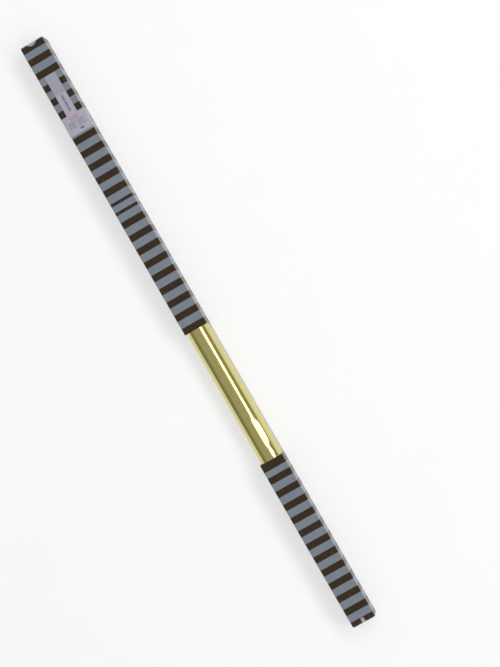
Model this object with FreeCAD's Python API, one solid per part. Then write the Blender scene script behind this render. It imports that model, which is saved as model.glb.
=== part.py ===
"""A slim square window carton with a tuck-in closure at each end, holding a roll of mirror-gold film.

The carton lies on its back. X runs along it from the upper, labelled end (-X) to the lower end (+X),
Y runs across it and Z points out of its front. The origin is on the back face, at the middle of it.
The carton is one folded blank of board, modelled panel by panel between its creases. A crease is a
hinge line on the inner face of the board, at the end of the panel that the flap folds from.
Each closure is hinged to the back panel, and its tuck tongue goes in behind the front panel.
Units are millimetres.
"""

import FreeCAD, Part
import math
import os

# The film roll and its core
roll_length = 450.0
roll_clearance = 0.15
core_outer_radius = 3.6
core_wall = 0.8
tape = 0.05
tape_length = 20.0
tape_arc_deg = 40.0
tape_position = 50.0

# The carton, which is longer than the roll by the same room at each end
roll_end_room = 10.0
carton_width = 18.0
carton_depth = 18.0
board = 0.4
ply_gap = 0.1

# The window, cut out of the front and both sides, measured from the upper end
window_start = 232.5
window_length = 105.8

# The glue flap folds from the right side panels and is glued to the back panel's inner face
glue_flap_roll_gap = 0.34
glue_flap_setback = 3.0

# The closures, with their tuck tongues and dust flaps
closure_side_gap = 0.2
tongue_tip_gap = 1.6
tongue_side_gap = 0.4
tongue_corner_radius = 3.0
tongue_dip_deg = 6.5
dust_flap_middle_gap = 1.0
dust_flap_end_gap = 0.4
dust_flap_hinge_side_slope = 0.8
dust_flap_tongue_side_slope = 0.4
dust_flap_tongue_gap = 0.5

# The thumb notches in the front panel's two ends
upper_notch_width = 8.4
upper_notch_depth = 2.45
lower_notch_width = 2.8
lower_notch_depth = 4.1

# The stickers near the upper end, measured from that end
sticker = 0.1
narrow_sticker_width = 8.4
shade_sticker_start = 25.9
shade_sticker_length = 15.8
name_label_length = 16.2
info_label_length = 14.3
info_label_wrap = 10.0

# Worked out from the sizes above
half_length = roll_length / 2 + roll_end_room
half_width = carton_width / 2
inner_half_width = half_width - board
front_inner = carton_depth - board
crease_x = half_length - board
dust_crease_x = crease_x - board - ply_gap
tongue_crease_z = front_inner - ply_gap - board
tongue_length = roll_end_room - board - tongue_tip_gap
dust_flap_length = inner_half_width - dust_flap_middle_gap
window_low = window_start - half_length
window_high = window_low + window_length
roll_radius = min(inner_half_width, carton_depth / 2 - board) - roll_clearance
roll_centre_z = board + roll_clearance + roll_radius

UPPER = -1
LOWER = 1
LEFT = -1
RIGHT = 1


def block(x0, x1, y0, y1, z0, z1):
    """A box between two values on each axis, given in either order."""
    low = FreeCAD.Vector(min(x0, x1), min(y0, y1), min(z0, z1))
    return Part.makeBox(abs(x1 - x0), abs(y1 - y0), abs(z1 - z0), low)


def plate(points, thickness):
    """A flat plate: a closed outline of corner points, pushed along the thickness vector."""
    return Part.Face(Part.makePolygon(points + points[:1])).extrude(thickness)


def tube_x(outer, inner, length):
    """A tube along X, centred on the roll's axis."""
    start = FreeCAD.Vector(-length / 2, 0, roll_centre_z)
    along = FreeCAD.Vector(1, 0, 0)
    return Part.makeCylinder(outer, length, start, along).cut(Part.makeCylinder(inner, length, start, along))


def panel_span(end):
    """From a window edge to the carton's end, as two X values: the window's, then the end's."""
    return (window_low, -half_length) if end == UPPER else (window_high, half_length)


def front_panel(end, notch_width, notch_depth):
    """The front panel on one side of the window, with the thumb notch in its outer end."""
    window_x, end_x = panel_span(end)
    panel = block(window_x, end_x, -half_width, half_width, front_inner, carton_depth)
    half = notch_width / 2
    if notch_depth < half:
        # A shallow notch is a segment of a circle
        radius = (half ** 2 + notch_depth ** 2) / (2 * notch_depth)
        centre_x = end_x + end * (radius - notch_depth)
        return panel.cut(cylinder_z(radius, centre_x))
    # A deep notch is a slot with a round bottom
    slot_x = end_x - end * (notch_depth - half)
    return panel.cut(block(slot_x, end_x, -half, half, front_inner, carton_depth)).cut(cylinder_z(half, slot_x))


def cylinder_z(radius, centre_x):
    """A round cutter that stands across the front panel."""
    return Part.makeCylinder(radius, 3 * board, FreeCAD.Vector(centre_x, 0, front_inner - board))


def side_panel(end, side):
    """A side panel, from the window to the crease of its dust flap."""
    window_x = panel_span(end)[0]
    return block(window_x, end * dust_crease_x, side * inner_half_width, side * half_width, board, front_inner)


def glue_flap(end):
    """The strip behind the right side panel that holds the tube of board closed.

    It reaches in under the roll only as far as the round of the roll leaves room for it.
    """
    window_x = panel_span(end)[0]
    height_left = roll_centre_z - 2 * board - glue_flap_roll_gap
    inner_edge = math.sqrt(roll_radius ** 2 - height_left ** 2)
    end_x = end * (dust_crease_x - glue_flap_setback)
    return block(window_x, end_x, inner_edge, inner_half_width, board, 2 * board)


def closure(end):
    """The panel that closes an end. It stands on the back panel's crease."""
    half = half_width - closure_side_gap
    return block(end * crease_x, end * half_length, -half, half, board, tongue_crease_z)


def tuck_tongue(end):
    """The tongue on the closure's free edge. It dips a little away from the front panel."""
    half = inner_half_width - tongue_side_gap
    root_x = end * crease_x
    tip_x = end * (crease_x - tongue_length)
    tongue = block(root_x, tip_x, -half, half, tongue_crease_z, tongue_crease_z + board)
    corners = [
        edge
        for edge in tongue.Edges
        if abs(edge.BoundBox.XMin - tip_x) < 0.01 and edge.BoundBox.ZLength > board / 2
    ]
    tongue = tongue.makeFillet(tongue_corner_radius, corners)
    crease = FreeCAD.Vector(root_x, 0, tongue_crease_z)
    tongue.rotate(crease, FreeCAD.Vector(0, 1, 0), -end * tongue_dip_deg)
    return tongue


def dust_flap(end, side):
    """A flap that folds in behind the closure from a side panel, tapered to clear its neighbours."""
    x = end * dust_crease_x
    crease_y = side * inner_half_width
    tip_y = side * (inner_half_width - dust_flap_length)
    low = board + dust_flap_end_gap
    high = tongue_crease_z - dust_flap_tongue_gap
    outline = [
        FreeCAD.Vector(x, crease_y, low),
        FreeCAD.Vector(x, tip_y, low + dust_flap_hinge_side_slope * dust_flap_length),
        FreeCAD.Vector(x, tip_y, high - dust_flap_tongue_side_slope * dust_flap_length),
        FreeCAD.Vector(x, crease_y, high),
    ]
    return plate(outline, FreeCAD.Vector(end * board, 0, 0))


def narrow_sticker(start, length):
    """A narrow sticker on the middle of the front panel."""
    x = start - half_length
    half = narrow_sticker_width / 2
    return block(x, x + length, -half, half, carton_depth, carton_depth + sticker)


def info_label():
    """The wide sticker, which wraps from the front panel onto both sides."""
    x0 = shade_sticker_start + shade_sticker_length + name_label_length - half_length
    x1 = x0 + info_label_length
    outer = half_width + sticker
    low = carton_depth - info_label_wrap
    wrapped = block(x0, x1, -outer, outer, low, carton_depth + sticker)
    return wrapped.cut(block(x0, x1, -half_width, half_width, low, carton_depth))


def closing_tape():
    """A strip of tape over the film's free edge, on the side of the roll that faces the back panel."""
    strip = tube_x(roll_radius + tape, roll_radius, tape_length)
    reach = 2 * roll_radius
    half_arc = math.radians(tape_arc_deg / 2)
    centre = FreeCAD.Vector(-tape_length / 2, 0, roll_centre_z)
    spread = reach * math.tan(half_arc)
    corners = [
        centre,
        centre + FreeCAD.Vector(0, -spread, -reach),
        centre + FreeCAD.Vector(0, spread, -reach),
    ]
    strip = strip.common(plate(corners, FreeCAD.Vector(tape_length, 0, 0)))
    strip.translate(FreeCAD.Vector(tape_position, 0, 0))
    return strip


def build():
    """Every piece, by its node's name."""
    pieces = {
        "back_panel": block(-crease_x, crease_x, -half_width, half_width, 0, board),
        "front_panel_upper": front_panel(UPPER, upper_notch_width, upper_notch_depth),
        "front_panel_lower": front_panel(LOWER, lower_notch_width, lower_notch_depth),
        "shade_sticker": narrow_sticker(shade_sticker_start, shade_sticker_length),
        "name_label": narrow_sticker(shade_sticker_start + shade_sticker_length, name_label_length),
        "info_label": info_label(),
        "core_tube": tube_x(core_outer_radius, core_outer_radius - core_wall, roll_length),
        "film_winding": tube_x(roll_radius, core_outer_radius, roll_length),
        "closing_tape": closing_tape(),
    }
    for end_name, end in (("upper", UPPER), ("lower", LOWER)):
        pieces[f"glue_flap_{end_name}"] = glue_flap(end)
        pieces[f"{end_name}_closure"] = closure(end)
        pieces[f"{end_name}_tuck_tongue"] = tuck_tongue(end)
        for side_name, side in (("left", LEFT), ("right", RIGHT)):
            pieces[f"{side_name}_panel_{end_name}"] = side_panel(end, side)
            pieces[f"{end_name}_dust_flap_{side_name}"] = dust_flap(end, side)
    return pieces


os.makedirs("parts", exist_ok=True)
for name, shape in build().items():
    shape.exportStep(f"parts/{name}.step")
    box = shape.BoundBox
    print(f"{name}: {len(shape.Solids)} solid, {shape.Volume:.1f} mm3, x {box.XMin:.1f} to {box.XMax:.1f}, "
          f"y {box.YMin:.1f} to {box.YMax:.1f}, z {box.ZMin:.2f} to {box.ZMax:.2f}")
print(f"upper closure crease x {-crease_x}, z {board}; tongue crease z {tongue_crease_z}")
print(f"dust flap creases x {-dust_crease_x}, y {inner_half_width}; roll radius {roll_radius}")
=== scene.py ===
"""The looks of a slim striped window carton that holds a roll of mirror-gold film.

Every board panel, flap and sticker is built from its own outline, and takes its size and place from the
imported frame. Lengths are in metres. X runs from the upper, labelled end to the lower end, and Z is up.
"""

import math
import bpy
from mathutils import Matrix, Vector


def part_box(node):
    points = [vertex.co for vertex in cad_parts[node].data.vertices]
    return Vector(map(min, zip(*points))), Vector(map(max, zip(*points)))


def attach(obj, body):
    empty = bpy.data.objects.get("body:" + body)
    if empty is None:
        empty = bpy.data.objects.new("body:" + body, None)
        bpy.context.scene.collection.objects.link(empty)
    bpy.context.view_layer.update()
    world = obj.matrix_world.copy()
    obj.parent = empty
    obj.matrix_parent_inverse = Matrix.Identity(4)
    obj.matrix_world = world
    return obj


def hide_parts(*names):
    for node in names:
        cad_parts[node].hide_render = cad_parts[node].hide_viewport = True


bl_info = {
    "name": "Window Carton",
    "version": (1, 0, 0),
    "blender": (4, 5, 0),
    "location": "View3D > Sidebar > Carton",
    "description": "Builds a striped window carton with its stickers and its roll of gold film",
    "category": "Object",
}

import bmesh
import bpy
from bpy.props import FloatProperty, FloatVectorProperty, PointerProperty
from mathutils import Matrix, Vector, noise

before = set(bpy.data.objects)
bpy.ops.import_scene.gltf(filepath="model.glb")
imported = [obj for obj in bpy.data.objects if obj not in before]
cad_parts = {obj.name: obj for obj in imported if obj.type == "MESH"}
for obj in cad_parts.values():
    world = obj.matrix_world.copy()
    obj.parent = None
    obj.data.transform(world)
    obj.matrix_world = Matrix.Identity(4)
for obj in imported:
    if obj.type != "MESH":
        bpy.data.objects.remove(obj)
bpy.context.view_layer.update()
MM = 0.001

UPPER, LOWER = -1, 1
LEFT, RIGHT = -1, 1
ENDS = (("upper", UPPER), ("lower", LOWER))
SIDES = (("left", LEFT), ("right", RIGHT))


def span(node, axis):
    """A CAD node's lowest and highest value on one axis, 0 to 2."""
    low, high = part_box(node)
    return low[axis], high[axis]


# Sizes that the frame gives
BOARD = span("back_panel", 2)[1]
CREASE_X = span("back_panel", 0)[1]
END_X = span("front_panel_lower", 0)[1]
DUST_CREASE_X = span("right_panel_lower", 0)[1]
WINDOW = (span("front_panel_upper", 0)[1], span("front_panel_lower", 0)[0])
HALF_WIDTH = span("front_panel_upper", 1)[1]
DEPTH = span("front_panel_upper", 2)[1]
INNER = HALF_WIDTH - BOARD
FRONT_INNER = DEPTH - BOARD
TONGUE_CREASE_Z = span("upper_closure", 2)[1]
STICKER = span("name_label", 2)[1] - DEPTH


def from_upper_end(x):
    """How far below the carton's upper end an X lies, in millimetres."""
    return (x + END_X) / MM


# ---------------------------------------------------------------- settings


def colour_setting(name, description, default):
    return FloatVectorProperty(
        name=name, description=description, subtype="COLOR", default=default, min=0.0, max=1.0)


def length_setting(name, description, default, least=0.0):
    return FloatProperty(
        name=name, description=description, subtype="DISTANCE", unit="LENGTH", default=default, min=least)


class CartonPrint(bpy.types.PropertyGroup):
    """The print on the board and the board itself"""

    ground: colour_setting("Ground", "Blue-grey that covers the board", (0.176, 0.205, 0.248))
    band: colour_setting("Band", "Dark brown of the printed bands", (0.0245, 0.0115, 0.0010))
    # Painted shade: this colour is darker than the board's own unprinted outer side, to stand in for the
    # shade on the tongues and dust flaps in the recesses at the ends
    coated: colour_setting(
        "Coated side", "Outer side of the board where it isn't printed", (0.35, 0.36, 0.42))
    liner: colour_setting("Inside", "Inner side of the board", (0.70, 0.69, 0.63))
    core: colour_setting("Cut edge", "Board fibres where the board is cut or worn", (0.56, 0.54, 0.50))
    band_width: length_setting("Band width", "Width of a printed band", 5.05 * MM, MM)
    thin_band_width: length_setting("Thin band width", "Width of the two thin bands", 2.35 * MM, 0.5 * MM)
    upper_end_band: length_setting("Upper end band", "Depth of the band at the upper end", 5.2 * MM)
    lower_end_band: length_setting("Lower end band", "Depth of the band at the lower end", 4.2 * MM)
    gloss: FloatProperty(
        name="Varnish roughness", description="Roughness of the varnished print", subtype="FACTOR",
        default=0.30, min=0.0, max=1.0)


class CartonStickers(bpy.types.PropertyGroup):
    """The three stickers near the upper end"""

    paper: colour_setting("Paper", "White sticker paper", (0.365, 0.365, 0.44))
    shade: colour_setting("Shade", "Satin patch that shows the film's shade", (0.35, 0.355, 0.40))
    dark_ink: colour_setting(
        "Dark ink", "Bars on the name label and a block on the wide one", (0.045, 0.035, 0.13))
    red_ink: colour_setting("Red ink", "Red block on the wide label", (0.52, 0.07, 0.12))
    grey_ink: colour_setting("Grey ink", "Fine lines on the wide label", (0.20, 0.20, 0.25))
    corner: length_setting("Corner radius", "Radius of the shade sticker's corners", 1.0 * MM)


class CartonFilm(bpy.types.PropertyGroup):
    """The roll of film in the carton"""

    gold: colour_setting("Gold", "Colour of the metallised film", (0.70, 0.63, 0.235))
    backing: colour_setting("Backing paper", "Paper wound in with the film", (0.78, 0.77, 0.72))
    kraft: colour_setting("Core board", "Brown board of the core tube", (0.36, 0.23, 0.12))
    lap: length_setting("Lap", "Step at the film's free edge", 0.10 * MM)
    turn_pitch: length_setting("Turn pitch", "Film and backing paper together", 0.13 * MM, 0.05 * MM)
    dent: length_setting("Dent", "Depth of the flat dent near the window's lower edge", 0.31 * MM)


class CartonStage(bpy.types.PropertyGroup):
    """Camera, lamps and floor"""

    turn: FloatProperty(
        name="Turn", description="How far the camera stands over to the right side of the carton",
        subtype="ANGLE", unit="ROTATION", default=math.radians(5.6))
    slope: FloatProperty(
        name="Slope", description="How steeply the carton runs down the view", subtype="ANGLE",
        unit="ROTATION", default=math.radians(60.1))
    lens: FloatProperty(
        name="Lens", description="Focal length in millimetres", default=100.0, min=20.0)
    view_height: length_setting("View height", "Height of what the camera sees at the carton", 0.4677, 0.1)
    key: FloatProperty(
        name="Key radiance", description="Radiance of the long soft box", default=4.1, min=0.0)
    fill: FloatProperty(
        name="Fill radiance", description="Radiance of the broad overhead light", default=0.40, min=0.0)
    whiteness: FloatProperty(
        name="Floor whiteness", description="How far the floor is lifted to white where it is seen",
        subtype="FACTOR", default=0.55, min=0.0, max=1.0)
    floor_size: length_setting("Floor size", "Side of the floor", 24.0, 1.0)


# ---------------------------------------------------------------- shader expressions


class Wire:
    """A number on its way through a node tree. Arithmetic on it adds Math nodes."""

    def __init__(self, tree, socket):
        self.tree = tree
        self.socket = socket

    def math(self, operation, *values, clamp=False):
        node = self.tree.nodes.new("ShaderNodeMath")
        node.operation = operation
        node.use_clamp = clamp
        for place, value in enumerate(values):
            feed(self.tree, node.inputs[place], value)
        return Wire(self.tree, node.outputs[0])

    def __add__(self, other):
        return self.math("ADD", self, other)

    def __sub__(self, other):
        return self.math("SUBTRACT", self, other)

    def __mul__(self, other):
        return self.math("MULTIPLY", self, other)

    def __truediv__(self, other):
        return self.math("DIVIDE", self, other)

    def __radd__(self, other):
        return self.math("ADD", other, self)

    def __rsub__(self, other):
        return self.math("SUBTRACT", other, self)

    def __abs__(self):
        return self.math("ABSOLUTE", self)

    def least(self, other):
        return self.math("MINIMUM", self, other)

    def most(self, other):
        return self.math("MAXIMUM", self, other)

    def rounded(self):
        return self.math("ROUND", self)

    def turn(self, other):
        """The angle of a point with this height and the other's breadth, in turns from straight up."""
        return self.math("ARCTAN2", other, self) / (2 * math.pi)

    def power(self, exponent):
        return self.math("POWER", self, exponent)

    def clamped(self):
        return self.math("ADD", self, 0.0, clamp=True)

    def inside(self, softness):
        """1 where this distance is above 0, 0 where it is below, with a soft edge."""
        return self.math("MULTIPLY_ADD", self, 1.0 / softness, 0.5, clamp=True)


def feed(tree, socket, value):
    """Links a wire to a socket, or sets the socket to a plain value."""
    if isinstance(value, Wire):
        tree.links.new(value.socket, socket)
    elif isinstance(value, (tuple, list)) and len(value) == 3 and socket.type == "RGBA":
        socket.default_value = (*value, 1.0)
    else:
        socket.default_value = value


class Finish:
    """The node tree of one material, or of the world."""

    def __init__(self, owner):
        owner.use_nodes = True
        self.owner = owner
        self.tree = owner.node_tree
        self.tree.nodes.clear()

    def add(self, kind, settings=None, inputs=None, output=0):
        """Adds a node, sets its settings, then its sockets, and returns one of its outputs."""
        node = self.tree.nodes.new(kind)
        for name, value in (settings or {}).items():
            if name == "stops":
                set_stops(node.color_ramp, value)
            else:
                setattr(node, name, value)
        for name, value in (inputs or {}).items():
            feed(self.tree, node.inputs[name], value)
        return Wire(self.tree, node.outputs[output]) if len(node.outputs) else None

    def split(self, vector):
        """The three coordinates of a vector."""
        outputs = self.add("ShaderNodeSeparateXYZ", inputs={"Vector": vector}).socket.node.outputs
        return [Wire(self.tree, outputs[axis]) for axis in range(3)]

    def place(self):
        """Reads where the surface is: its point in metres, and that point's x, y and z in millimetres."""
        self.point = self.add("ShaderNodeTexCoord", output="Object")
        self.x, self.y, self.z = (axis * 1000.0 for axis in self.split(self.point))

    def grain(self, size, stretch=(1.0, 1.0, 1.0), detail=3.0, roughness=0.55):
        """Noise from 0 to 1 with features of a size in millimetres, longer along an axis by its stretch."""
        scale = tuple(1000.0 / (size * longer) for longer in stretch)
        placed = self.add("ShaderNodeMapping", {"vector_type": "POINT"},
                          {"Vector": self.point, "Scale": scale})
        return self.add("ShaderNodeTexNoise", {"noise_dimensions": "3D"},
                        {"Vector": placed, "Scale": 1.0, "Detail": detail, "Roughness": roughness})

    def mix(self, factor, first, second):
        """The first colour where factor is 0, the second where it is 1."""
        node = self.tree.nodes.new("ShaderNodeMix")
        node.data_type = "RGBA"
        # The node has sockets for numbers, vectors and colours, and these are the ones for colours
        for socket, value in ((0, factor), (6, first), (7, second)):
            feed(self.tree, node.inputs[socket], value)
        return Wire(self.tree, node.outputs[2])

    def shaded(self, colour, brightness):
        """A colour made darker or lighter by a wire that is about 1."""
        return self.add("ShaderNodeVectorMath", {"operation": "SCALE"}, {0: colour, "Scale": brightness})

    def bump(self, height, strength, distance):
        """A normal tilted by a height wire. distance is the height, in metres, that 1 stands for."""
        return self.add(
            "ShaderNodeBump", inputs={"Height": height, "Strength": strength, "Distance": distance})

    def surface(self, **inputs):
        """Ends the material in a Principled shader with these sockets; spaces in a name are underscores."""
        named = {name.replace("_", " "): value for name, value in inputs.items()}
        shader = self.add("ShaderNodeBsdfPrincipled", inputs=named)
        self.add("ShaderNodeOutputMaterial", inputs={"Surface": shader})
        return self.owner


def set_stops(ramp, stops):
    """Fills a colour ramp from (position, grey level) pairs."""
    while len(ramp.elements) < len(stops):
        ramp.elements.new(0.5)
    for element, (position, level) in zip(ramp.elements, stops):
        element.position = position
        element.color = (level, level, level, 1.0)


def material(name):
    finish = Finish(bpy.data.materials.new(f"carton_{name}"))
    finish.place()
    return finish


def band_run(along, first, last, count, width):
    """How far inside the nearest of a run of evenly spaced bands a point is, in millimetres."""
    pitch = (last - first) / (count - 1)
    steps = (along - first) / pitch
    nearest = steps.rounded().most(0.0).least(count - 1.0)
    return width / 2 - abs(steps - nearest) * pitch


def rectangle(along, across, low_along, high_along, low_across, high_across):
    """How far inside a rectangle a point is, in millimetres."""
    reach_along = (high_along - low_along) / 2 - abs(along - (low_along + high_along) / 2)
    reach_across = (high_across - low_across) / 2 - abs(across - (low_across + high_across) / 2)
    return reach_along.least(reach_across)


# ---------------------------------------------------------------- finishes


def band_reach(settings, along):
    """How far inside a printed band a point is. Both are in millimetres, along from the upper end."""
    width = settings.band_width / MM
    window_low, window_high = (from_upper_end(x) for x in WINDOW)
    length = 2 * END_X / MM
    # Each run's first and last band, in millimetres from the upper end, how many bands, and their width
    runs = (
        (-19.2, -8.6, 2, width),
        (12.6, 118.5, 11, width),
        (127.8, 134.8, 2, settings.thin_band_width / MM),
        (144.0, window_low - width / 2, 9, width),
        (window_low - width / 2, window_high + width / 2, 11, width),
        (window_high + width / 2, length - 12.1, 12, width),
        (length + 9.1, length + 19.7, 2, width),
    )
    upper_end, lower_end = settings.upper_end_band / MM, settings.lower_end_band / MM
    past_upper, past_lower = 0.5, 0.8
    at_upper_end = (upper_end - along).least(along + past_upper)
    at_lower_end = (along - length + lower_end).least(length + past_lower - along)
    # The band along the window's lower edge is a little wider
    half_edge_band = 3.05
    reach = at_upper_end.most(at_lower_end)
    reach = reach.most(half_edge_band - abs(along - (window_high + half_edge_band)))
    for first, last, count, run_width in runs:
        reach = reach.most(band_run(along, first, last, count, run_width))
    return reach


def print_wear(finish, tooth):
    """How far the print is worn off, from 0 to 1."""
    # Fine pale scratches along the carton, and rubbed spots
    scratch = (finish.grain(0.5, stretch=(34.0, 1.0, 1.0), detail=1.0) - 0.735).inside(0.05)
    rubbed = (finish.grain(5.0, detail=5.0) - 0.70).inside(0.12) * (tooth - 0.42).inside(0.2)
    # The ink cracks along the four long folds and frays at the ends
    side_reach = HALF_WIDTH / MM - abs(finish.y)
    depth_reach = DEPTH / MM / 2 - abs(finish.z - DEPTH / MM / 2)
    fold_distance = (side_reach * side_reach + depth_reach * depth_reach).power(0.5)
    from_end = END_X / MM - abs(finish.x)
    near_end = (9.0 - from_end).inside(14.0)
    flakes = finish.grain(0.8, detail=4.0) + near_end * 0.10
    cracked = (0.34 - fold_distance).inside(0.3) * (flakes - 0.58).inside(0.16)
    rim_reach = side_reach.least(depth_reach)
    rim_distance = (from_end * from_end + rim_reach * rim_reach).power(0.5)
    frayed = (0.35 + flakes * 0.4 - rim_distance).inside(0.3) * (flakes - 0.58).inside(0.16)
    return (scratch * 0.14 + rubbed * 0.12 + cracked * 0.42 + frayed * 0.45).clamped()


def printed_board(settings):
    """Varnished print: brown bands on blue-grey, mottled ink, scuffs, and bare fibres along the folds."""
    finish = material("printed_board")
    wander = (finish.grain(0.9) - 0.5) * 0.16
    # The bands go on over the crease onto a closure, as on the flat sheet, so height there counts as length
    normal = finish.add("ShaderNodeTexCoord", output="Normal")
    on_closure = (abs(finish.split(normal)[0]) - 0.7).inside(0.1)
    which_end = finish.x.math("SIGN", finish.x)
    along = finish.x + END_X / MM + wander + which_end * finish.z * on_closure
    in_band = band_reach(settings, along).inside(0.22)

    cloud = finish.grain(14.0, detail=2.0)
    mottle = finish.grain(1.6, stretch=(1.0, 2.4, 2.4), detail=4.0)
    tooth = finish.grain(0.25, detail=2.0)
    ground = finish.shaded(tuple(settings.ground), 0.80 + cloud * 0.16 + mottle * 0.20 + tooth * 0.04)
    brown = finish.shaded(tuple(settings.band), 0.66 + cloud * 0.20 + mottle * 0.40 + tooth * 0.08)
    ink = finish.mix(in_band, ground, brown)
    worn = print_wear(finish, tooth)

    relief = tooth * 0.35 + mottle * 0.45 + in_band * 0.12
    return finish.surface(
        Base_Color=finish.mix(worn, ink, tuple(settings.core)),
        Roughness=(settings.gloss - 0.05) + mottle * 0.10 + worn * 0.3,
        Normal=finish.bump(relief, 0.22, 0.02 * MM),
        IOR=1.47,
    )


def plain_board(settings):
    """The board's unprinted outer side, smooth under its coating, with a faint mottle and rubbed marks. Its
    colour is darkened as painted shade, for the shade on the tongues and dust flaps seen through the thumb
    notches.
    """
    finish = material("plain_board")
    mottle = finish.grain(1.8, detail=4.0)
    rubbed = (finish.grain(3.0, stretch=(3.0, 1.0, 1.0), detail=4.0) - 0.60).inside(0.12)
    # The base colour carries painted shade of the end recesses; the rubbed marks below are real wear
    colour = finish.shaded(tuple(settings.coated), 0.90 + mottle * 0.20)
    return finish.surface(
        Base_Color=finish.mix(rubbed * 0.25, colour, tuple(c * 0.72 for c in settings.coated)),
        Roughness=0.40 + mottle * 0.12,
        Normal=finish.bump(mottle, 0.3, 0.02 * MM),
    )


def board_liner(settings):
    """The board's inner side: matt, with short fibres and specks."""
    finish = material("board_liner")
    cloud = finish.grain(6.0)
    fibre = finish.grain(0.35, stretch=(5.0, 1.0, 1.0), detail=4.0)
    speck = (finish.grain(0.6, detail=1.0) - 0.70).inside(0.06)
    colour = finish.shaded(tuple(settings.liner), 0.84 + cloud * 0.14 + fibre * 0.18)
    speck_brown = (0.23, 0.19, 0.14)
    colour = finish.mix(speck * 0.35, colour, speck_brown)
    return finish.surface(
        Base_Color=colour,
        Roughness=0.62 + fibre * 0.16,
        Normal=finish.bump(fibre + speck * 0.3, 0.45, 0.03 * MM),
    )


def cut_edge(settings):
    """The board's cut edge: thin layers of pale and greyer fibre."""
    finish = material("cut_edge")
    layers = finish.grain(0.07, stretch=(12.0, 12.0, 1.0), detail=2.0)
    fibre = finish.grain(0.2, detail=4.0)
    colour = finish.shaded(tuple(settings.core), 0.70 + layers * 0.35 + fibre * 0.20)
    return finish.surface(
        Base_Color=colour,
        Roughness=0.78 + fibre * 0.10,
        Normal=finish.bump(layers + fibre, 0.5, 0.03 * MM),
    )


def sticker_paper(settings, name, marks):
    """Sticker paper with plain marks: (low and high along, low and high across, ink, strength) each."""
    finish = material(name)
    along = finish.x + END_X / MM
    wander = (finish.grain(0.5) - 0.5) * 0.04
    fibre = finish.grain(0.3, stretch=(3.0, 1.0, 1.0), detail=4.0)
    cloud = finish.grain(5.0)
    colour = finish.shaded(tuple(settings.paper), 0.86 + fibre * 0.10 + cloud * 0.18)
    for low_along, high_along, low_across, high_across, ink, strength in marks:
        reach = rectangle(along + wander, finish.y + wander, low_along, high_along, low_across, high_across)
        colour = finish.mix(reach.inside(0.12) * strength * (0.75 + fibre * 0.5), colour, tuple(ink))
    return finish.surface(
        Base_Color=colour,
        Roughness=0.42 + fibre * 0.12,
        Normal=finish.bump(fibre, 0.25, 0.02 * MM),
    )


def shade_patch(settings, low_along, high_along, half_across):
    """The shade sticker: a satin metallic patch inside a paper margin."""
    finish = material("shade_sticker_paper")
    margin, lower_margin = 1.1, 0.4
    reach = rectangle(finish.x + END_X / MM, finish.y, low_along + margin, high_along - lower_margin,
                      margin - half_across, half_across - margin)
    patch = reach.inside(0.9)
    fibre = finish.grain(0.3, stretch=(3.0, 1.0, 1.0), detail=4.0)
    brushed = finish.grain(0.25, stretch=(26.0, 1.0, 1.0), detail=2.0)
    paper = finish.shaded(tuple(settings.paper), 0.82 + fibre * 0.16)
    satin = finish.shaded(tuple(settings.shade), 0.84 + brushed * 0.30)
    return finish.surface(
        Base_Color=finish.mix(patch, paper, satin),
        Metallic=patch * 0.25,
        Roughness=0.44 - patch * 0.08 + brushed * 0.06,
        Normal=finish.bump(fibre * 0.6 + brushed * 0.4, 0.2, 0.02 * MM),
    )


def gold_film(settings):
    """Mirror-gold metallised film with faint lengthwise streaks and a few fine handling marks."""
    finish = material("gold_film")
    streak = finish.grain(0.8, stretch=(120.0, 1.0, 1.0), detail=3.0)
    haze = finish.grain(9.0, detail=3.0)
    mark = (finish.grain(0.4, stretch=(18.0, 1.0, 1.0), detail=1.0) - 0.72).inside(0.04)
    colour = finish.shaded(tuple(settings.gold), 0.90 + streak * 0.14 + haze * 0.06)
    rubbed_pale = (0.80, 0.78, 0.66)
    colour = finish.mix(mark * 0.25, colour, rubbed_pale)
    return finish.surface(
        Base_Color=colour,
        Metallic=1.0,
        Roughness=0.10 + streak * 0.05 + haze * 0.04 + mark * 0.12,
        Normal=finish.bump(streak * 0.8 + haze * 0.2, 0.10, 0.02 * MM),
    )


def wound_edge(settings):
    """The end of the winding: fine turns of film and backing paper round the core."""
    finish = material("wound_edge")
    low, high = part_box("film_winding")
    height = finish.z - (low.z + high.z) / 2 / MM
    radius = (finish.y * finish.y + height * height).power(0.5)
    turns = radius / (settings.turn_pitch / MM) + finish.grain(2.5) * 1.5
    ridge = abs(turns - turns.rounded()) * 2.0
    film_edge = (ridge - 0.62).inside(0.2)
    soil = finish.grain(1.8)
    colour = finish.mix(film_edge * 0.8, tuple(settings.backing), tuple(c * 0.55 for c in settings.gold))
    return finish.surface(
        Base_Color=finish.shaded(colour, 0.80 + soil * 0.3),
        Roughness=0.5 + soil * 0.15,
        Normal=finish.bump(ridge, 0.6, 0.05 * MM),
    )


def core_board(settings):
    """Brown board wound in a spiral strip, with its seam."""
    finish = material("core_board")
    low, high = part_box("core_tube")
    height = finish.z - (low.z + high.z) / 2 / MM
    wound = finish.x / 17.0 + height.turn(finish.y)
    seam = (0.035 - abs(wound - wound.rounded())).inside(0.02)
    fibre = finish.grain(0.4, stretch=(4.0, 1.0, 1.0), detail=4.0)
    colour = finish.shaded(tuple(settings.kraft), 0.8 + fibre * 0.4)
    return finish.surface(
        Base_Color=finish.mix(seam * 0.6, colour, tuple(c * 0.45 for c in settings.kraft)),
        Roughness=0.75 + fibre * 0.1,
        Normal=finish.bump(fibre - seam * 0.6, 0.4, 0.04 * MM),
    )


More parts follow.
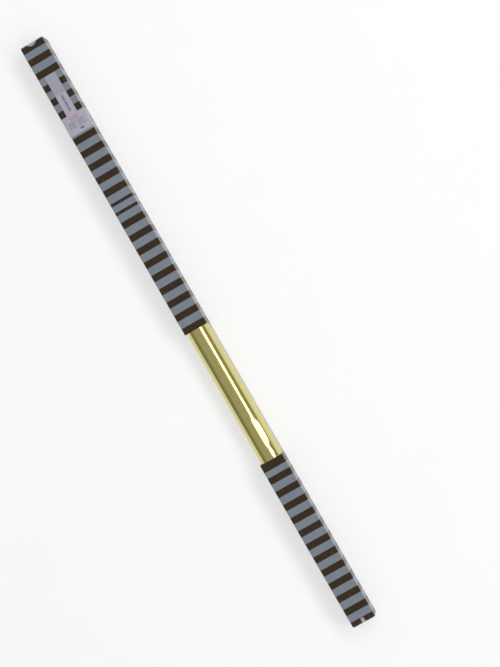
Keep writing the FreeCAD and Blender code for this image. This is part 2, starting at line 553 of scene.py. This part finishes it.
def clear_tape():
    """Thin clear tape, faintly yellow, with trapped air along it."""
    finish = material("clear_tape")
    bubble = (finish.grain(0.9, stretch=(1.0, 2.0, 2.0)) - 0.58).inside(0.1)
    gummed, airy = (0.74, 0.70, 0.52), (0.86, 0.85, 0.78)
    return finish.surface(
        Base_Color=finish.mix(bubble, gummed, airy),
        Roughness=0.12 + bubble * 0.2,
        Alpha=0.24 + bubble * 0.12,
        IOR=1.48,
    )


# ---------------------------------------------------------------- mesh work


def linked_object(name, data):
    """A new object in the scene."""
    new = bpy.data.objects.new(name, data)
    bpy.context.scene.collection.objects.link(new)
    return new


def row_faces(mesh, near, far, finish=0, smooth=False):
    """Faces between two rows of points."""
    for k in range(len(near) - 1):
        face = mesh.faces.new((near[k], near[k + 1], far[k + 1], far[k]))
        face.material_index = finish
        face.smooth = smooth


def ring_faces(mesh, near, far, finish=0, smooth=False):
    """Faces all round, between two rings of points."""
    row_faces(mesh, near + near[:1], far + far[:1], finish, smooth)


def mark_edges(mesh):
    """Turns every face outwards and makes the edges sharp where the surface turns a corner."""
    bmesh.ops.recalc_face_normals(mesh, faces=mesh.faces)
    for edge in mesh.edges:
        edge.smooth = edge.calc_face_angle(0.0) < math.radians(30)


def finished_piece(name, mesh, finishes, node, body):
    """Makes a piece from a bmesh, stands it in for its CAD node and lets it ride on its body."""
    data = bpy.data.meshes.new(name)
    mesh.to_mesh(data)
    mesh.free()
    for finish in finishes:
        data.materials.append(finish)
    piece = linked_object(name, data)
    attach(piece, body)
    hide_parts(node)


# Where each finish stands in a piece's list
PRINT, INSIDE, EDGE = 0, 1, 2
FILM, TURNS = 0, 1
FOLD_STEPS = 5


def board_mesh(outline, place):
    """A panel of board.

    outline is a closed loop of (a, b, fold): fold is the angle in degrees, or 0, by which the board curls
    outwards along the side that starts at that point, half of the crease it shares with its neighbour.
    place turns (a, b, height over the inner face) into a point.
    """
    mesh = bmesh.new()
    inner = [mesh.verts.new(place(a, b, 0.0)) for a, b, _fold in outline]
    outer = [mesh.verts.new(place(a, b, BOARD)) for a, b, _fold in outline]
    mesh.faces.new(outer).material_index = PRINT
    mesh.faces.new(inner[::-1]).material_index = INSIDE
    area = sum(p[0] * q[1] - q[0] * p[1] for p, q in zip(outline, outline[1:] + outline[:1]))
    way = 1.0 if area > 0 else -1.0
    for i, (a, b, fold) in enumerate(outline):
        j = (i + 1) % len(outline)
        if not fold:
            row_faces(mesh, (inner[i], inner[j]), (outer[i], outer[j]), EDGE)
            continue
        step_a, step_b = outline[j][0] - a, outline[j][1] - b
        length = math.hypot(step_a, step_b)
        out_a, out_b = way * step_b / length, -way * step_a / length
        rows = [(outer[i], outer[j])]
        for k in range(1, FOLD_STEPS + 1):
            angle = math.radians(fold) * k / FOLD_STEPS
            reach, height = BOARD * math.sin(angle), BOARD * math.cos(angle)
            rows.append(tuple(
                mesh.verts.new(place(outline[n][0] + out_a * reach, outline[n][1] + out_b * reach, height))
                for n in (i, j)))
        for near, far in zip(rows, rows[1:]):
            row_faces(mesh, near, far, PRINT, smooth=True)
        row_faces(mesh, (inner[i], inner[j]), rows[-1], EDGE)
        for corner, column in ((inner[i], 0), (inner[j], 1)):
            mesh.faces.new([corner] + [row[column] for row in rows]).material_index = EDGE
    bmesh.ops.recalc_face_normals(mesh, faces=mesh.faces)
    for edge in mesh.edges:
        edge.smooth = all(face.smooth for face in edge.link_faces)
    bmesh.ops.triangulate(mesh, faces=[face for face in mesh.faces if len(face.verts) > 4])
    return mesh


def arc(centre_a, centre_b, radius, start_deg, stop_deg, steps):
    """Points on an arc, as (a, b) pairs."""
    angles = (math.radians(start_deg + (stop_deg - start_deg) * k / steps) for k in range(steps + 1))
    return [(centre_a + radius * math.cos(t), centre_b + radius * math.sin(t)) for t in angles]


def nicks(start, stop, level, places, depth=0.35 * MM, half=0.3 * MM):
    """A cut edge from start to stop with small uncut nicks that stick out of it, as (a, level) pairs."""
    way = 1 if stop > start else -1
    points = []
    for share in places:
        middle = start + (stop - start) * share
        points += [(middle - way * half, level), (middle - way * half * 0.3, level + depth),
                   (middle + way * half * 0.4, level + depth * 0.7), (middle + way * half, level)]
    return points


def board_finishes(settings, slot):
    """The finishes of a piece of board's outside, inside and cut edges. Each is made once."""
    makers = (plain_board if slot == "plain_board" else printed_board, board_liner, cut_edge)
    return [bpy.data.materials.get(f"carton_{maker.__name__}") or maker(settings) for maker in makers]


def board_piece(node, body, outline, place, slot="printed_board"):
    finishes = board_finishes(bpy.context.scene.carton_print, slot)
    finished_piece(f"board_{node}", board_mesh(outline, place), finishes, node, body)


def straight(points):
    """Points of an outline whose sides are all cut, not folded."""
    return [(a, b, 0) for a, b in points]


# ---------------------------------------------------------------- operators


class CARTON_OT_front_panels(bpy.types.Operator):
    """Builds the two front panels, with a thumb notch in the outer end of each"""

    bl_idname = "carton.front_panels"
    bl_label = "Front Panels"

    def execute(self, context):
        for name, end in ENDS:
            node = f"front_panel_{name}"
            notch = self.notch(end)
            window_x = WINDOW[0] if end == UPPER else WINDOW[1]
            edge = nicks(INNER, -INNER, window_x, (0.24, 0.71), depth=-end * 0.35 * MM)
            outline = [(-INNER, window_x, 45), (-INNER, end * DUST_CREASE_X, 0), (-INNER, end * CREASE_X, 0)]
            outline += straight([(-INNER + BOARD, end * END_X)] + notch + [(INNER - BOARD, end * END_X)])
            outline += [(INNER, end * CREASE_X, 0), (INNER, end * DUST_CREASE_X, 45)]
            outline += [(INNER, window_x, 0)] + straight(edge)
            board_piece(node, "carton", outline, lambda a, b, c: Vector((b, a, FRONT_INNER + c)))
        return {"FINISHED"}

    @staticmethod
    def notch(end):
        """The notch's points across the panel's end: a wide shallow one above, a narrow round slot below."""
        if end == UPPER:
            half, depth = 4.2 * MM, 2.45 * MM
            radius = (half ** 2 + depth ** 2) / (2 * depth)
            sweep = math.degrees(math.asin(half / radius))
            return arc(0.0, -END_X - radius + depth, radius, 90 + sweep, 90 - sweep, 12)
        half, depth = 1.4 * MM, 4.1 * MM
        bottom = END_X - depth + half
        return [(-half, END_X)] + arc(0.0, bottom, half, 180, 360, 10) + [(half, END_X)]


class CARTON_OT_side_panels(bpy.types.Operator):
    """Builds the four side panels, from the window to the creases of their dust flaps"""

    bl_idname = "carton.side_panels"
    bl_label = "Side Panels"

    def execute(self, context):
        for name, end in ENDS:
            window_x = WINDOW[0] if end == UPPER else WINDOW[1]
            flap_low, flap_high = span(f"{name}_dust_flap_right", 2)
            for side_name, side in SIDES:
                # The right side folds into the glue flap, one board higher than the left side's fold
                foot = 2 * BOARD if side == RIGHT else BOARD
                crease_x = end * DUST_CREASE_X
                low = max(flap_low, foot)
                outline = [
                    (foot, window_x, 45), (foot, crease_x, 0), (low, crease_x, 45), (flap_high, crease_x, 0),
                    (FRONT_INNER, crease_x, 45), (FRONT_INNER, window_x, 0),
                ]
                if low == foot:
                    # The dust flap starts right at the fold, so two points are one
                    outline.pop(1)
                board_piece(f"{side_name}_panel_{name}", "carton", outline,
                            lambda a, b, c, side=side: Vector((b, side * (INNER + c), a)))
        return {"FINISHED"}


class CARTON_OT_back_panel(bpy.types.Operator):
    """Builds the back panel, which runs the whole length behind the window"""

    bl_idname = "carton.back_panel"
    bl_label = "Back Panel"

    def execute(self, context):
        lip = span("upper_closure", 1)[1]
        outline = [
            (-lip, -CREASE_X, 0), (-INNER, -DUST_CREASE_X, 45), (-INNER, WINDOW[0], 0),
            (-HALF_WIDTH, WINDOW[0], 0), (-HALF_WIDTH, WINDOW[1], 0), (-INNER, WINDOW[1], 45),
            (-INNER, DUST_CREASE_X, 0), (-lip, CREASE_X, 45), (lip, CREASE_X, 0),
            (HALF_WIDTH, DUST_CREASE_X, 0), (HALF_WIDTH, -DUST_CREASE_X, 0), (lip, -CREASE_X, 45),
        ]
        board_piece("back_panel", "carton", outline, lambda a, b, c: Vector((b, a, BOARD - c)))
        return {"FINISHED"}


class CARTON_OT_glue_flaps(bpy.types.Operator):
    """Builds the two glue flaps that hold the folded carton together"""

    bl_idname = "carton.glue_flaps"
    bl_label = "Glue Flaps"

    def execute(self, context):
        for name, end in ENDS:
            node = f"glue_flap_{name}"
            # From the window to the far end
            x0, x1 = sorted(span(node, 0), key=abs)
            edge_y = span(node, 1)[0]
            taper = 2.0 * MM
            outline = [(INNER, x0, 45), (INNER, x1, 0), (edge_y, x1 - end * taper, 0), (edge_y, x0, 0)]
            board_piece(node, "carton", outline, lambda a, b, c: Vector((b, a, 2 * BOARD - c)))
        return {"FINISHED"}


class CARTON_OT_closures(bpy.types.Operator):
    """Builds the closure panel at each end, with its tuck tongue"""

    bl_idname = "carton.closures"
    bl_label = "Closures and Tuck Tongues"

    def execute(self, context):
        for name, end in ENDS:
            half = span(f"{name}_closure", 1)[1]
            tongue_half = span(f"{name}_tuck_tongue", 1)[1]
            dip = self.dip(name)
            crease_fold = 45 + math.degrees(dip) / 2
            shoulder = TONGUE_CREASE_Z - BOARD
            outline = [
                (BOARD, -half, 0), (shoulder, -half, 0), (TONGUE_CREASE_Z, -tongue_half, crease_fold),
                (TONGUE_CREASE_Z, tongue_half, 0), (shoulder, half, 0), (BOARD, half, 45),
            ]
            board_piece(f"{name}_closure", f"{name}_closure", outline,
                        lambda a, b, c, end=end: Vector((end * (CREASE_X + c), b, a)))
            self.tongue(name, end, tongue_half, dip, crease_fold)
        return {"FINISHED"}

    @staticmethod
    def dip(name):
        """The angle by which the tongue dips away from the front panel."""
        low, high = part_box(f"{name}_tuck_tongue")
        return math.asin((high.z - low.z - BOARD) / (high.x - low.x))

    @staticmethod
    def tongue(name, end, half, dip, crease_fold):
        low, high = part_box(f"{name}_tuck_tongue")
        length = (high.x - low.x - BOARD * math.sin(dip)) / math.cos(dip)
        corner = 3.0 * MM
        tip = arc(length - corner, half - corner, corner, 90, 0, 8)
        tip += [(a, -b) for a, b in tip[::-1]]
        outline = [(0.0, -half, crease_fold), (0.0, half, 0)] + straight(tip)
        inward = Vector((-end * math.cos(dip), 0, -math.sin(dip)))
        up = Vector((-end * math.sin(dip), 0, math.cos(dip)))
        root = Vector((end * CREASE_X, 0, TONGUE_CREASE_Z))
        board_piece(f"{name}_tuck_tongue", f"{name}_tongue", outline,
                    lambda a, b, c: root + inward * a + up * c + Vector((0, b, 0)), slot="plain_board")


class CARTON_OT_dust_flaps(bpy.types.Operator):
    """Builds the four dust flaps that fold in behind the closures"""

    bl_idname = "carton.dust_flaps"
    bl_label = "Dust Flaps"

    def execute(self, context):
        for name, end in ENDS:
            for side_name, side in SIDES:
                node = f"{name}_dust_flap_{side_name}"
                self.flap(node, end, side)
        return {"FINISHED"}

    @staticmethod
    def flap(node, end, side):
        low, high = span(node, 2)
        y0, y1 = span(node, 1)
        length = y1 - y0
        # The free end is narrower: steep towards the closure's hinge, gentle towards its tongue
        hinge_side_slope, tongue_side_slope = 0.8, 0.4
        tip_low, tip_high = low + hinge_side_slope * length, high - tongue_side_slope * length
        soften = 0.9 * MM
        tip = [
            (length - soften * 0.8, tip_low - soften * 0.64),
            (length - soften * 0.25, tip_low + soften * 0.1),
            (length, tip_low + soften),
            (length, tip_high - soften),
            (length - soften * 0.25, tip_high - soften * 0.2),
            (length - soften, tip_high + soften * 0.4),
        ]
        outline = [(0.0, high, 45), (0.0, low, 0)] + straight(tip)
        board_piece(node, node, outline,
                    lambda a, b, c: Vector((end * (DUST_CREASE_X + c), side * (INNER - a), b)),
                    slot="plain_board")


class CARTON_OT_stickers(bpy.types.Operator):
    """Builds the shade sticker, the name label and the wide label that wraps onto both sides"""

    bl_idname = "carton.stickers"
    bl_label = "Stickers"

    def execute(self, context):
        settings = context.scene.carton_stickers
        half = span("name_label", 1)[1]
        self.shade_sticker(settings, half)
        self.name_label(settings, half)
        self.info_label(settings)
        return {"FINISHED"}

    @staticmethod
    def flat_sticker(node, outline, finish, slot):
        """A flat sticker on the front panel, from its outline in X and Y."""
        mesh = bmesh.new()
        low = [mesh.verts.new((x, y, DEPTH)) for x, y in outline]
        high = [mesh.verts.new((x, y, DEPTH + STICKER)) for x, y in outline]
        mesh.faces.new(high)
        mesh.faces.new(low[::-1])
        ring_faces(mesh, low, high)
        bmesh.ops.recalc_face_normals(mesh, faces=mesh.faces)
        rim = [edge for edge in mesh.edges if all(v.co.z > DEPTH + STICKER / 2 for v in edge.verts)]
        bmesh.ops.bevel(mesh, geom=rim, offset=STICKER * 0.35, segments=2, affect="EDGES")
        finished_piece(f"sticker_{node}", mesh, [finish], node, "carton")

    def shade_sticker(self, settings, half):
        x0, x1 = span("shade_sticker", 0)
        radius = settings.corner
        outline = [(x1, half)] + arc(x0 + radius, half - radius, radius, 90, 180, 6)
        outline += arc(x0 + radius, radius - half, radius, 180, 270, 6) + [(x1, -half)]
        finish = shade_patch(settings, from_upper_end(x0), from_upper_end(x1), half / MM)
        self.flat_sticker("shade_sticker", outline, finish, "shade_sticker_paper")

    def name_label(self, settings, half):
        x0, x1 = span("name_label", 0)
        outline = [(x0, -half), (x1, -half), (x1, half), (x0, half)]
        start = from_upper_end(x0)
        # One row of plain bars where a printed name would be
        bars = ((1.1, 5.6), (6.0, 10.1), (10.5, 13.9))
        marks = [(start + low, start + high, -0.75, 0.95, settings.dark_ink, 0.55) for low, high in bars]
        finish = sticker_paper(settings, "name_label_paper", marks)
        self.flat_sticker("name_label", outline, finish, "label_paper")

    def info_label(self, settings):
        x0, x1 = span("info_label", 0)
        low_z = span("info_label", 2)[0]
        start = from_upper_end(x0)
        # A red block with a pale line through it, two blocks of fine grey lines, and a small dark block
        marks = [(start + 1.2, start + 3.9, -3.6, 2.9, settings.red_ink, 0.42),
                 (start + 2.3, start + 2.8, -2.7, 2.0, settings.paper, 0.8)]
        for row in range(5):
            line = start + 4.9 + row * 1.0
            for low, high in ((-6.6, -1.0 - 0.5 * (row % 2)), (0.4, 6.9 - 0.8 * (row % 3))):
                marks.append((line, line + 0.6, low, high, settings.grey_ink, 0.80))
        marks.append((start + 10.9, start + 12.3, 0.3, 3.2, settings.dark_ink, 0.75))
        finish = sticker_paper(settings, "info_label_paper", marks)
        mesh = self.wrapped_mesh(x0, x1, low_z)
        finished_piece("sticker_info_label", mesh, [finish], "info_label", "carton")

    @staticmethod
    def wrapped_mesh(x0, x1, low_z):
        """A strip of paper over the front and round both front folds, closed all round."""
        def section(gap):
            """Points across the label, at this height over the board."""
            radius = BOARD + gap
            right = [(HALF_WIDTH + gap, low_z)] + arc(INNER, FRONT_INNER, radius, 0, 90, 6)
            return right + [(-y, z) for y, z in right[::-1]]

        outer, inner = section(STICKER), section(0.0)
        mesh = bmesh.new()
        rows = []
        for y_z in (outer, inner):
            rows.append([[mesh.verts.new((x, y, z)) for y, z in y_z] for x in (x0, x1)])
        (outer0, outer1), (inner0, inner1) = rows
        row_faces(mesh, outer0, outer1, smooth=True)
        for near, far in ((inner0, inner1), (outer0, inner0), (outer1, inner1)):
            row_faces(mesh, near, far)
        for i in (0, -1):
            mesh.faces.new((outer0[i], outer1[i], inner1[i], inner0[i]))
        mark_edges(mesh)
        return mesh


class CARTON_OT_film_roll(bpy.types.Operator):
    """Builds the roll of gold film, its core tube and the tape over its free edge"""

    bl_idname = "carton.film_roll"
    bl_label = "Film Roll"

    TURN_STEPS = 168
    LENGTH_STEPS = 300
    END_RINGS = 14
    # A flat dent a little to the right of the top, and a dimple below it: millimetres above the window's
    # lower edge, half length in millimetres, degrees from the top, half width in degrees, share of the depth
    DENTS = ((20.5, 12.5, 26.2, 15.0, 1.0), (4.2, 2.6, 24.0, 9.0, 0.25))

    def execute(self, context):
        settings = context.scene.carton_film
        low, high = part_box("film_winding")
        self.axis_z = (low.z + high.z) / 2
        self.radius = (high.z - low.z) / 2
        core_low, core_high = span("core_tube", 2)
        self.bore = (core_high - core_low) / 2
        self.winding(settings, low.x, high.x)
        self.core_tube(settings)
        self.tape()
        return {"FINISHED"}

    def point(self, x, radius, turn):
        """A point round the axis. turn is 0 at the free edge, which faces the back panel."""
        angle = 2 * math.pi * turn
        return Vector((x, -radius * math.sin(angle), self.axis_z - radius * math.cos(angle)))

    def film_radius(self, settings, x, turn):
        """The radius of the outer turn: it steps down by the lap, and the film isn't quite even."""
        radius = self.radius - settings.lap * turn
        slow = noise.noise(Vector((x * 9.0, turn * 3.0, 4.2)))
        fine = noise.noise(Vector((x * 2.2, turn * 14.0, 9.1)))
        radius -= 0.012 * MM * (1.0 + slow) + 0.006 * MM * (1.0 + fine)
        right_of_top = 360.0 * (turn - 0.5)
        for from_window, half_length, middle, half_width, share in self.DENTS:
            along = (x - WINDOW[1] + from_window * MM) / (half_length * MM)
            across = (right_of_top - middle) / half_width
            if abs(along) < 1 and abs(across) < 1:
                # The film spans the dent straight, like a chord
                radius -= settings.dent * share * (1 - across ** 2) * (1 - abs(along) ** 4)
        return radius

    def winding(self, settings, x0, x1):
        """The outer turn with its lap, both ends with slightly uneven turns, and the bore."""
        mesh = bmesh.new()
        turns = [k / self.TURN_STEPS for k in range(self.TURN_STEPS + 1)]
        xs = [x0 + (x1 - x0) * k / self.LENGTH_STEPS for k in range(self.LENGTH_STEPS + 1)]
        skin = [[mesh.verts.new(self.point(x, self.film_radius(settings, x, t), t)) for t in turns]
                for x in xs]
        for near, far in zip(skin, skin[1:]):
            row_faces(mesh, near, far, FILM, smooth=True)
            # The free edge's step
            row_faces(mesh, (near[-1], near[0]), (far[-1], far[0]), TURNS)
        bores = []
        for x, rim, way in ((x0, skin[0], 1), (x1, skin[-1], -1)):
            outer = rim
            for ring in range(1, self.END_RINGS + 1):
                share = ring / self.END_RINGS
                inset = 0.25 * MM * (noise.noise(Vector((share * 6.0, 0.0, way * 7.3))) + 1.0) * (share < 1)
                circle = [
                    mesh.verts.new(self.point(x + way * inset, r + (self.bore - r) * share, t))
                    for t, r in ((t, self.film_radius(settings, x, t)) for t in turns)]
                ring_faces(mesh, outer, circle, TURNS)
                outer = circle
            bores.append(outer)
        ring_faces(mesh, *bores, TURNS)
        bmesh.ops.remove_doubles(mesh, verts=mesh.verts, dist=0.0005 * MM)
        bmesh.ops.recalc_face_normals(mesh, faces=mesh.faces)
        for edge in mesh.edges:
            edge.smooth = len({face.material_index for face in edge.link_faces}) == 1
        finishes = [gold_film(settings), wound_edge(settings)]
        finished_piece("roll_film_winding", mesh, finishes, "film_winding", "film_roll")

    def core_tube(self, settings):
        """A tube with softly broken edges, turned from its section."""
        x0, x1 = span("core_tube", 0)
        wall, soft = 0.8 * MM, 0.12 * MM
        outer, inner = self.bore, self.bore - wall
        section = [(x0 + soft, outer), (x1 - soft, outer), (x1, outer - soft), (x1, inner + soft),
                   (x1 - soft, inner), (x0 + soft, inner), (x0, inner + soft), (x0, outer - soft)]
        mesh = bmesh.new()
        steps = 64
        rings = [[mesh.verts.new(self.point(x, r, k / steps)) for k in range(steps)] for x, r in section]
        for near, far in zip(rings, rings[1:] + rings[:1]):
            ring_faces(mesh, near, far, smooth=True)
        mark_edges(mesh)
        finished_piece("roll_core_tube", mesh, [core_board(settings)], "core_tube", "film_roll")

    def tape(self):
        """The tape lies round the roll over the free edge, with a pinked edge at each end."""
        x0, x1 = span("closing_tape", 0)
        low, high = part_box("closing_tape")
        half_turn = math.asin(high.y / (self.axis_z - low.z)) / (2 * math.pi)
        thick = self.axis_z - low.z - self.radius
        teeth, steps = 20, 12
        mesh = bmesh.new()
        layers = []
        for radius in (self.radius + thick, self.radius):
            grid = []
            for i in range(2 * teeth + 1):
                x = x0 + (x1 - x0) * i / (2 * teeth)
                reach = half_turn * (1.0 if i % 2 else 0.94)
                grid.append([mesh.verts.new(self.point(x, radius, reach * (2 * k / steps - 1)))
                             for k in range(steps + 1)])
            layers.append(grid)
        top, under = layers
        for grid in layers:
            for near, far in zip(grid, grid[1:]):
                row_faces(mesh, near, far, smooth=True)
        for i in (0, -1):
            row_faces(mesh, [row[i] for row in top], [row[i] for row in under])
            row_faces(mesh, top[i], under[i])
        mark_edges(mesh)
        finished_piece("roll_closing_tape", mesh, [clear_tape()], "closing_tape", "film_roll")


class CARTON_OT_stage(bpy.types.Operator):
    """Sets the camera, the soft box, the surroundings and the pale floor"""

    bl_idname = "carton.stage"
    bl_label = "Camera, Light and Floor"

    def execute(self, context):
        settings = context.scene.carton_stage
        context.scene.view_settings.view_transform = "Standard"
        self.camera(context, settings)
        self.lamp(context, "key", tilt=math.radians(39.0), distance=1.7, size=(2.6, 0.50),
                  radiance=settings.key)
        fill = self.lamp(context, "fill", tilt=math.radians(12.0), distance=1.9, size=(2.6, 2.0),
                         radiance=settings.fill)
        # The film shows one streak, the soft box's
        fill.visible_glossy = False
        self.surroundings(context)
        self.floor(context, settings)
        return {"FINISHED"}

    @staticmethod
    def camera(context, settings):
        """Looks down on the front panel from a little to its right, with the upper end at the upper left."""
        turn, slope = settings.turn, settings.slope
        back = Vector((0, math.sin(turn), math.cos(turn)))
        down_carton = Vector((1, 0, 0))
        over_carton = back.cross(down_carton)
        right = down_carton * math.cos(slope) + over_carton * math.sin(slope)
        up = over_carton * math.cos(slope) - down_carton * math.sin(slope)
        data = bpy.data.cameras.new("camera")
        data.lens = settings.lens
        data.clip_end = 30.0
        camera = linked_object("camera", data)
        # The view's centre lies beside the carton, a little below the middle of its length
        centre = Vector((0.254 - END_X, 31.6 * MM, DEPTH))
        distance = settings.view_height * data.lens / data.sensor_width
        rotation = Matrix((right, up, back)).transposed()
        camera.matrix_world = Matrix.LocRotScale(centre + back * distance, rotation.to_quaternion(), None)
        context.scene.camera = camera

    @staticmethod
    def lamp(context, name, tilt, distance, size, radiance):
        """An area light that faces the carton from its right side. tilt is the angle from straight above."""
        data = bpy.data.lights.new(name, "AREA")
        data.shape = "RECTANGLE"
        data.size, data.size_y = size
        data.energy = radiance * math.pi * data.size * data.size_y
        lamp = linked_object(name, data)
        lamp.location = (0.0, distance * math.sin(tilt), distance * math.cos(tilt))
        lamp.rotation_euler = (-tilt, 0.0, 0.0)
        lamp.visible_camera = False
        return lamp

    @staticmethod
    def surroundings(context):
        """A studio, pale towards both ends of the carton, with long bands of light and shade beside it."""
        world = bpy.data.worlds.new("studio")
        context.scene.world = world
        finish = Finish(world)
        direction = finish.add("ShaderNodeTexCoord", output="Generated")
        length, side, height = finish.split(direction)
        # A dim wall to the left, a pale ceiling, and a dim strip between the soft box and a paler right wall.
        # Degrees from straight up, round the carton's length, positive to the right
        levels = ((-90, 0.25), (-60, 0.25), (-45, 0.44), (50, 0.44), (60, 0.30), (75, 0.30), (90, 0.60))
        stops = [(degrees / 360 + 0.5, level) for degrees, level in levels]
        room = finish.add("ShaderNodeValToRGB", {"stops": stops}, {"Fac": height.turn(side) + 0.5})
        towards_an_end = (abs(length) * 2.5 - 0.9).clamped()
        end_wall = (0.80, 0.80, 0.80)
        colour = finish.mix(towards_an_end, room, end_wall)
        glow = finish.add("ShaderNodeBackground", inputs={"Color": colour, "Strength": 1.0})
        finish.add("ShaderNodeOutputWorld", inputs={"Surface": glow})

    @staticmethod
    def floor(context, settings):
        """A large white floor that keeps the carton's soft shadow."""
        half = settings.floor_size / 2
        mesh = bpy.data.meshes.new("floor")
        corners = [(-half, -half, 0), (half, -half, 0), (half, half, 0), (-half, half, 0)]
        mesh.from_pydata(corners, [], [(0, 1, 2, 3)])
        finish = material("floor")
        tone = 0.98 + finish.grain(40.0) * 0.04
        paper = finish.add("ShaderNodeBsdfDiffuse", inputs={"Color": finish.shaded((0.93, 0.93, 0.93), tone)})
        white = finish.add("ShaderNodeEmission", inputs={"Color": (1.0, 1.0, 1.0), "Strength": 1.0})
        rays = finish.add("ShaderNodeLightPath").socket.node.outputs
        seen = sum((Wire(finish.tree, rays[name]) for name in ("Is Glossy Ray", "Is Transmission Ray")),
                   Wire(finish.tree, rays["Is Camera Ray"]))
        lift = seen.clamped() * settings.whiteness
        both = finish.add("ShaderNodeMixShader", inputs={0: lift, 1: paper, 2: white})
        finish.add("ShaderNodeOutputMaterial", inputs={"Surface": both})
        mesh.materials.append(finish.owner)
        floor = linked_object("floor", mesh)
        clearance = 0.02 * MM
        floor.location.z = -clearance


class CARTON_PT_tools(bpy.types.Panel):
    """Lists the steps that build the carton"""

    bl_idname = "CARTON_PT_tools"
    bl_label = "Window Carton"
    bl_space_type = "VIEW_3D"
    bl_region_type = "UI"
    bl_category = "Carton"

    def draw(self, context):
        for name, kind in GROUPS.items():
            box = self.layout.box()
            for setting in kind.__annotations__:
                box.prop(getattr(context.scene, name), setting)
        for step in STEPS:
            self.layout.operator(step.bl_idname)


STEPS = (
    CARTON_OT_stage,
    CARTON_OT_front_panels,
    CARTON_OT_side_panels,
    CARTON_OT_back_panel,
    CARTON_OT_glue_flaps,
    CARTON_OT_closures,
    CARTON_OT_dust_flaps,
    CARTON_OT_stickers,
    CARTON_OT_film_roll,
)
GROUPS = {
    "carton_print": CartonPrint,
    "carton_stickers": CartonStickers,
    "carton_film": CartonFilm,
    "carton_stage": CartonStage,
}


def register():
    for kind in (*GROUPS.values(), *STEPS, CARTON_PT_tools):
        bpy.utils.register_class(kind)
    for name, group in GROUPS.items():
        setattr(bpy.types.Scene, name, PointerProperty(type=group))


def unregister():
    for name in GROUPS:
        delattr(bpy.types.Scene, name)
    for kind in reversed((*GROUPS.values(), *STEPS, CARTON_PT_tools)):
        bpy.utils.unregister_class(kind)


def main():
    register()
    for step in STEPS:
        family, name = step.bl_idname.split(".")
        getattr(getattr(bpy.ops, family), name)()


if __name__ == "__main__":
    main()
